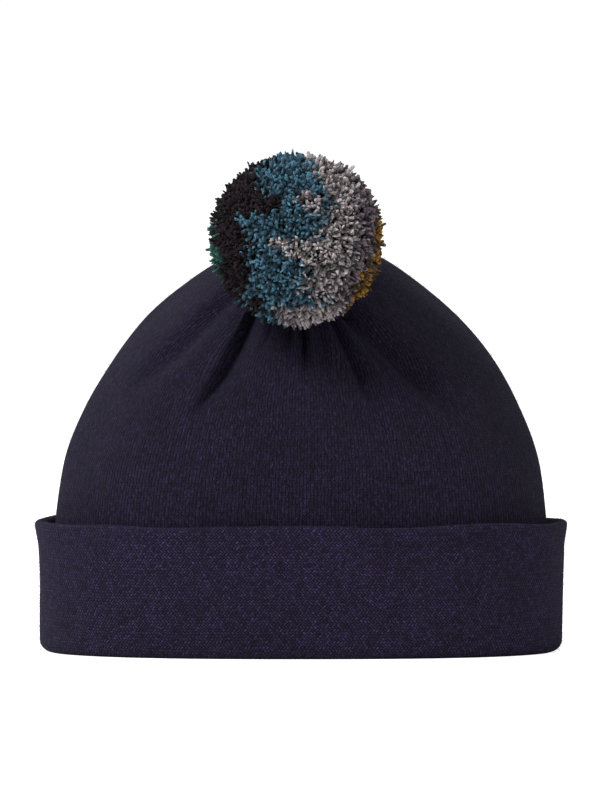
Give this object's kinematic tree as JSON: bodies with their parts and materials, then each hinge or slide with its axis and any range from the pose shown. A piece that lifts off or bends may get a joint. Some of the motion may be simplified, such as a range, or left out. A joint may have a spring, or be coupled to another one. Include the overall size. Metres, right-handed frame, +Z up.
{
  "type": "pom pom beanie",
  "caption": "Knitted beanie standing on its turned-up cuff, with a gathered crown and a striped yarn pom pom that flops forward on its tie threads.",
  "frame": {"origin": "centre of the head opening, in the plane of the fold that the hat stands on", "axes": "+Z up through the crown, +X to the wearer's left, -Y is the front, where the pom lies"},
  "size_m": [0.2218, 0.1896, 0.2104],
  "materials": {
    "body_knit": "fine stockinette knit, matt, melange navy",
    "cuff_knit": "reverse stockinette knit, matt, melange navy",
    "sewing_thread": "matt spun thread",
    "tie_cord": "matt twisted yarn",
    "yarn_green": "cut yarn, matt and fuzzy",
    "yarn_black": "cut yarn, matt and fuzzy",
    "yarn_teal": "cut yarn, matt and fuzzy",
    "yarn_grey": "cut yarn, matt and fuzzy",
    "yarn_charcoal": "cut yarn, matt and fuzzy",
    "yarn_mustard": "cut yarn, matt and fuzzy"
  },
  "bodies": {
    "hat": {"crown_body": "body_knit", "turned_up_cuff": "cuff_knit", "back_seam": "sewing_thread", "gather_thread": "sewing_thread", "anchor_knot": "tie_cord"},
    "tie_knot": {"tie_knot": "tie_cord"},
    "tie_threads": {"tie_threads": "tie_cord"},
    "pom": {"pom_green": "yarn_green", "pom_black": "yarn_black", "pom_teal": "yarn_teal", "pom_grey": "yarn_grey", "pom_charcoal": "yarn_charcoal", "pom_mustard": "yarn_mustard", "pom_binding_cord": "tie_cord"}
  },
  "joints": [
    {"name": "pom_sway", "type": "hinge", "parent": "hat", "child": "tie_knot", "pos_m": [0, -0.03177, 0.16446], "axis": [0, -0.5736, 0.8192], "range_deg": [-20, 20]},
    {"name": "pom_lift", "type": "hinge", "parent": "tie_knot", "child": "tie_threads", "pos_m": [0, -0.03177, 0.16446], "axis": [-1, 0, 0], "range_deg": [0, 55]},
    {"name": "pom_twist", "type": "hinge", "parent": "tie_threads", "child": "pom", "pos_m": [0, -0.03177, 0.16446], "axis": [-0.0443, -0.97, 0.239], "range_deg": [-90, 90]}
  ]
}
